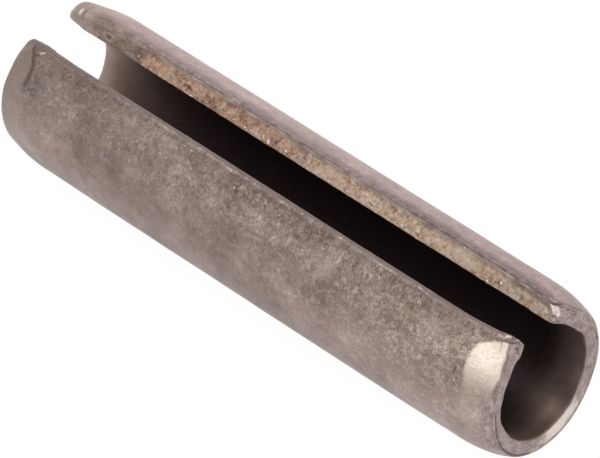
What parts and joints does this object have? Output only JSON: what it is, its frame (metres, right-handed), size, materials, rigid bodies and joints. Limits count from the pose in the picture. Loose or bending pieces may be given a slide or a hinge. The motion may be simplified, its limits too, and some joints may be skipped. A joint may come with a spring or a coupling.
{
  "type": "slotted spring pin",
  "caption": "Slotted spring pin: a steel strip rolled into an open tube with tapered ends, driven into a drilled hole to locate or hold parts.",
  "frame": {"origin": "on the pin's axis, at the middle of its length", "axes": "+X along the pin's axis, +Z through the middle of the slot, so the pin lies slot up as it settles on a flat surface"},
  "size_m": [0.04, 0.0106, 0.0102],
  "materials": {
    "spring_steel": "plain oxidised spring steel, mottled grey-brown, satin"
  },
  "bodies": {
    "root": {"spring_pin": "spring_steel"}
  },
  "joints": []
}
